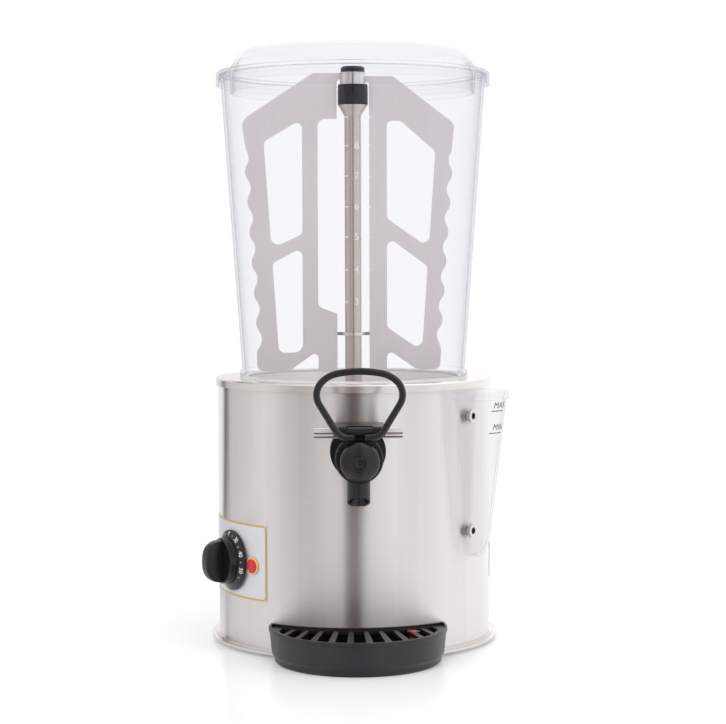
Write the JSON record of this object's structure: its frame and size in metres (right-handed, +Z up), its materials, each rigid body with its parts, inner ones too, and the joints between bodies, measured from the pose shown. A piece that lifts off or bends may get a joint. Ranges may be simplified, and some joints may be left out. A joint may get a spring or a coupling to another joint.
{
  "type": "hot chocolate dispenser",
  "caption": "Counter-top hot chocolate dispenser: clear tapered bowl with a turning paddle over a round steel heated base, lever tap, drip tray, water level cup and thermostat.",
  "frame": {"origin": "the point on the counter under the axis of the round body", "axes": "+Z up along the stirrer's shaft; the tap and drip tray look along -Y; the level cup is at +X and the thermostat knob at -X"},
  "size_m": [0.2715, 0.3229, 0.537],
  "materials": {
    "steel": "brushed round the body",
    "plated_steel": "plain plated",
    "polished_steel": "polished",
    "paddle_steel": "satin sheet",
    "screw_steel": "bright",
    "rubber": "matt",
    "silicone": "matt translucent white",
    "white_plastic": "matt",
    "black_plastic": "fine satin",
    "tray_plastic": "fine satin",
    "clear_plastic": "clear polished",
    "brass": "plain",
    "cast_alloy": "as cast",
    "laminations": "varnished",
    "copper_coil": "varnished wire",
    "label": "printed film",
    "amber_plastic": "polished",
    "red_lens": "polished",
    "red_plastic": "satin"
  },
  "bodies": {
    "base": {"base_plate": "steel", "rubber_feet": "rubber", "foot_screws": "screw_steel", "body_shell": "steel", "top_cover": "steel", "motor_stand": "plated_steel", "water_tank": "steel", "product_pot": "steel", "stirrer_tube": "steel", "shaft_bushes": "white_plastic", "heating_element": "plated_steel", "element_nuts": "brass", "overheat_cutout": "plated_steel", "bowl_gasket": "silicone", "bowl": "clear_plastic", "middle_gear_pin": "screw_steel", "gearbox_housing": "cast_alloy", "motor_stator": "laminations", "motor_coil": "copper_coil", "motor_posts": "plated_steel", "tap_gasket": "rubber", "tap_body": "black_plastic", "tap_cross_bar": "polished_steel", "tap_bonnet": "black_plastic", "tap_lock_nut": "black_plastic", "tap_spring": "screw_steel", "hinge_pin": "screw_steel", "control_label": "label", "lamp_holder": "amber_plastic", "lamp_lens": "red_lens", "thermostat": "white_plastic", "sensor_bulb": "brass", "switch_housing": "black_plastic", "cord_gland": "black_plastic", "gland_nut": "black_plastic", "terminal_block": "white_plastic", "level_cup": "clear_plastic", "cup_pipes": "steel", "cup_spacers": "rubber"},
    "stirrer": {"drive_shaft": "steel", "output_gear": "white_plastic", "shaft_collar": "black_plastic", "paddle_hub": "polished_steel", "cap_nut": "black_plastic", "left_paddle": "paddle_steel", "right_paddle": "paddle_steel", "guide_clip": "polished_steel"},
    "middle_wheel": {"middle_gear": "white_plastic"},
    "rotor": {"motor_rotor": "plated_steel", "cooling_fan": "black_plastic"},
    "lid": {"lid": "clear_plastic"},
    "lever": {"tap_lever": "black_plastic"},
    "plunger": {"tap_plunger": "black_plastic", "tap_seal": "silicone", "tap_cap": "black_plastic"},
    "knob": {"thermostat_knob": "black_plastic"},
    "rocker": {"switch_rocker": "black_plastic"},
    "tray": {"drip_tray": "tray_plastic"},
    "grille": {"drip_grille": "tray_plastic"},
    "float": {"level_float": "red_plastic"}
  },
  "joints": [
    {"name": "stirrer_turn", "type": "hinge", "parent": "base", "child": "stirrer", "pos_m": [0, 0, 0.3], "axis": [0, 0, 1], "continuous": true},
    {"name": "middle_wheel_turn", "type": "hinge", "parent": "base", "child": "middle_wheel", "pos_m": [0, 0.03, 0.085], "axis": [0, 0, 1], "continuous": true},
    {"name": "rotor_turn", "type": "hinge", "parent": "base", "child": "rotor", "pos_m": [0, 0.06, 0.05], "axis": [0, 0, 1], "continuous": true},
    {"name": "lid_lift", "type": "slide", "parent": "base", "child": "lid", "axis": [0, 0, 1], "range_m": [0, 0.12]},
    {"name": "tap_lever_pull", "type": "hinge", "parent": "base", "child": "lever", "pos_m": [0, -0.1747, 0.204], "axis": [1, 0, 0], "range_deg": [0, 15], "stiffness_Nm_per_rad": 0.5, "springref_deg": -11.46},
    {"name": "tap_plunger_push", "type": "slide", "parent": "base", "child": "plunger", "axis": [0, 1, 0], "range_m": [0, 0.0064], "deforming": ["tap_spring"]},
    {"name": "thermostat_turn", "type": "hinge", "parent": "base", "child": "knob", "pos_m": [-0.11435, -0.06183, 0.0796], "axis": [-0.8796, -0.4756, 0], "range_deg": [-270, 0]},
    {"name": "switch_rock", "type": "hinge", "parent": "base", "child": "rocker", "pos_m": [0.11878, 0.02309, 0.067], "axis": [-0.1908, 0.9816, 0], "range_deg": [-20, 0]},
    {"name": "tray_pull", "type": "slide", "parent": "base", "child": "tray", "axis": [0, -1, 0], "range_m": [0, 0.08]},
    {"name": "grille_lift", "type": "slide", "parent": "tray", "child": "grille", "axis": [0, 0, 1], "range_m": [0, 0.05]},
    {"name": "float_rise", "type": "slide", "parent": "tray", "child": "float", "axis": [0, 0, 1], "range_m": [0, 0.012]}
  ],
  "couplings": [
    {"joint": "middle_wheel_turn", "follows": "stirrer_turn", "ratio": -4},
    {"joint": "rotor_turn", "follows": "stirrer_turn", "ratio": 16},
    {"joint": "tap_plunger_push", "follows": "tap_lever_pull", "m_per_rad": 0.0238}
  ]
}
